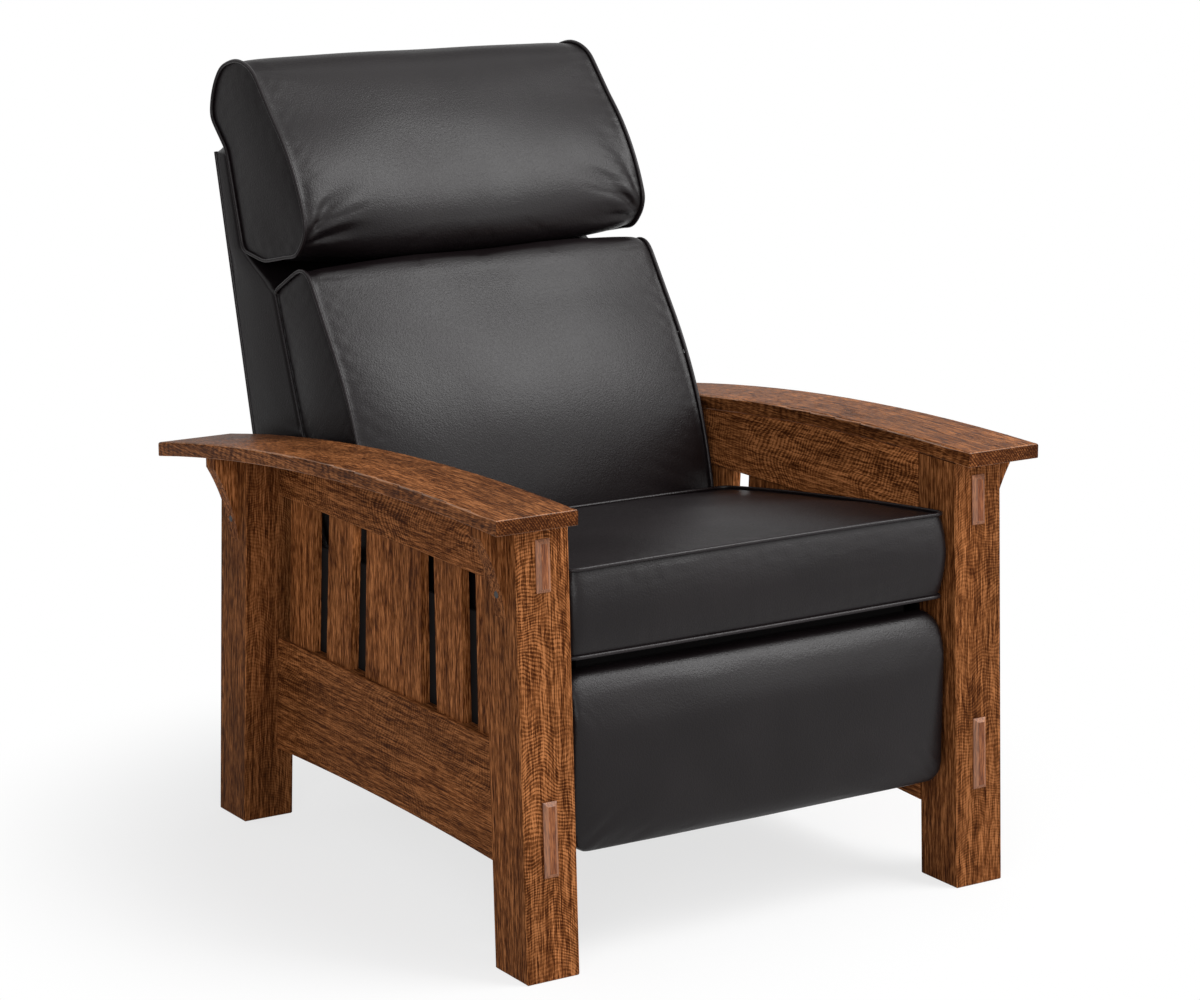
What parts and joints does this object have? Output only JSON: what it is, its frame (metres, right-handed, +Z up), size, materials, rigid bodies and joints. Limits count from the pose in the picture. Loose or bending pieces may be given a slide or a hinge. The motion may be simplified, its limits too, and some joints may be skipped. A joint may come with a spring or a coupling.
{
  "type": "mission reclining armchair",
  "caption": "Mission reclining armchair: raked oak side frames with slats and bowed arms, leather seat, lumbar cushion, head pillow and fold-out footrest on a push-back mechanism.",
  "frame": {"origin": "on the floor, midway between the chair's sides and midway between its foremost and rearmost points", "axes": "the chair faces -Y, +Z is up, X = 0 is its mirror plane, and its left side as seen in the picture is at -X"},
  "size_m": [0.836, 1.02, 1.0705],
  "materials": {
    "stained_oak": "satin brown stain on quarter-sawn oak",
    "black_leather": "fine-grained, soft sheen",
    "black_steel": "semi-gloss black",
    "spring_steel": "drawn wire",
    "dark_screw": "dark bronze",
    "frame_wood": "planed hardwood, unfinished",
    "black_wood": "matt black paint on hardwood and hardboard"
  },
  "bodies": {
    "root": {"arm_left": "stained_oak", "arm_right": "stained_oak", "base_bolts": "dark_screw", "base_plate_left": "black_steel", "base_plate_right": "black_steel", "corbel_front_left": "stained_oak", "corbel_front_right": "stained_oak", "corbel_rear_left": "stained_oak", "corbel_rear_right": "stained_oak", "corbel_screws": "dark_screw", "front_stretcher": "stained_oak", "lower_rail_left": "stained_oak", "lower_rail_right": "stained_oak", "post_front_left": "stained_oak", "post_front_right": "stained_oak", "post_rear_left": "stained_oak", "post_rear_right": "stained_oak", "rear_stretcher": "stained_oak", "side_linings": "black_wood", "slat_1_left": "stained_oak", "slat_1_right": "stained_oak", "slat_2_left": "stained_oak", "slat_2_right": "stained_oak", "slat_3_left": "stained_oak", "slat_3_right": "stained_oak", "slat_4_left": "stained_oak", "slat_4_right": "stained_oak", "slat_5_left": "stained_oak", "slat_5_right": "stained_oak", "tenon_caps": "stained_oak", "upper_rail_left": "stained_oak", "upper_rail_right": "stained_oak"},
    "front_carrier": {"glide_links_front": "black_steel"},
    "rear_carrier": {"glide_links_rear": "black_steel"},
    "seat": {"seat_rail_left": "black_steel", "seat_rail_right": "black_steel", "seat_side_board_left": "black_wood", "seat_side_board_right": "black_wood", "seat_front_board": "black_wood", "seat_rear_board": "black_wood", "seat_springs": "spring_steel", "seat_cushion": "black_leather"},
    "swing_arm": {"swing_links": "black_steel", "torque_tube": "black_steel"},
    "extension_bar": {"carrier_links": "black_steel"},
    "control_link_a": {"control_links": "black_steel"},
    "footrest": {"footrest_brackets": "black_steel", "footrest_board": "frame_wood", "footrest_pad": "black_leather"},
    "control_link_b": {"tilt_links": "black_steel"},
    "back": {"back_panel_left": "frame_wood", "back_panel_right": "frame_wood", "back_rail_top": "frame_wood", "back_rail_middle": "frame_wood", "back_rail_bottom": "frame_wood", "back_bracket_left": "black_steel", "back_bracket_right": "black_steel", "back_cover": "black_leather", "lumbar_cushion": "black_leather", "head_pillow": "black_leather"}
  },
  "joints": [
    {"name": "seat_glide", "type": "hinge", "parent": "root", "child": "front_carrier", "pos_m": [0, -0.214, 0.205], "axis": [1, 0, 0], "range_deg": [0, 44]},
    {"name": "seat_level", "type": "hinge", "parent": "front_carrier", "child": "seat", "pos_m": [0, -0.18403, 0.27918], "axis": [-1, 0, 0], "range_deg": [0, 44]},
    {"name": "rear_glide", "type": "hinge", "parent": "root", "child": "rear_carrier", "pos_m": [0, 0.066, 0.205], "axis": [1, 0, 0], "range_deg": [0, 44]},
    {"name": "swing", "type": "hinge", "parent": "seat", "child": "swing_arm", "pos_m": [0, -0.334, 0.321], "axis": [-1, 0, 0], "range_deg": [0, 134.01]},
    {"name": "extension", "type": "hinge", "parent": "swing_arm", "child": "extension_bar", "pos_m": [0, -0.24032, 0.21696], "axis": [1, 0, 0], "range_deg": [0, 134.01]},
    {"name": "control", "type": "hinge", "parent": "seat", "child": "control_link_a", "pos_m": [0, -0.30163, 0.31061], "axis": [-1, 0, 0], "range_deg": [0, 134.01]},
    {"name": "footrest_turn", "type": "hinge", "parent": "extension_bar", "child": "footrest", "pos_m": [0, -0.429, 0.2775], "axis": [-1, 0, 0], "range_deg": [0, 88.81]},
    {"name": "tilt", "type": "hinge", "parent": "footrest", "child": "control_link_b", "pos_m": [0, -0.43429, 0.29014], "axis": [1, 0, 0], "range_deg": [0, 88.81]},
    {"name": "back_recline", "type": "hinge", "parent": "seat", "child": "back", "pos_m": [0, 0.121, 0.306], "axis": [-1, 0, 0], "range_deg": [0, 30]}
  ],
  "couplings": [
    {"joint": "seat_level", "follows": "seat_glide", "ratio": 1},
    {"joint": "rear_glide", "follows": "seat_glide", "ratio": 1},
    {"joint": "swing", "follows": "seat_glide", "ratio": 3.0455},
    {"joint": "extension", "follows": "seat_glide", "ratio": 3.0455},
    {"joint": "control", "follows": "seat_glide", "ratio": 3.0455},
    {"joint": "footrest_turn", "follows": "seat_glide", "ratio": 2.0182},
    {"joint": "tilt", "follows": "seat_glide", "ratio": 2.0182}
  ]
}
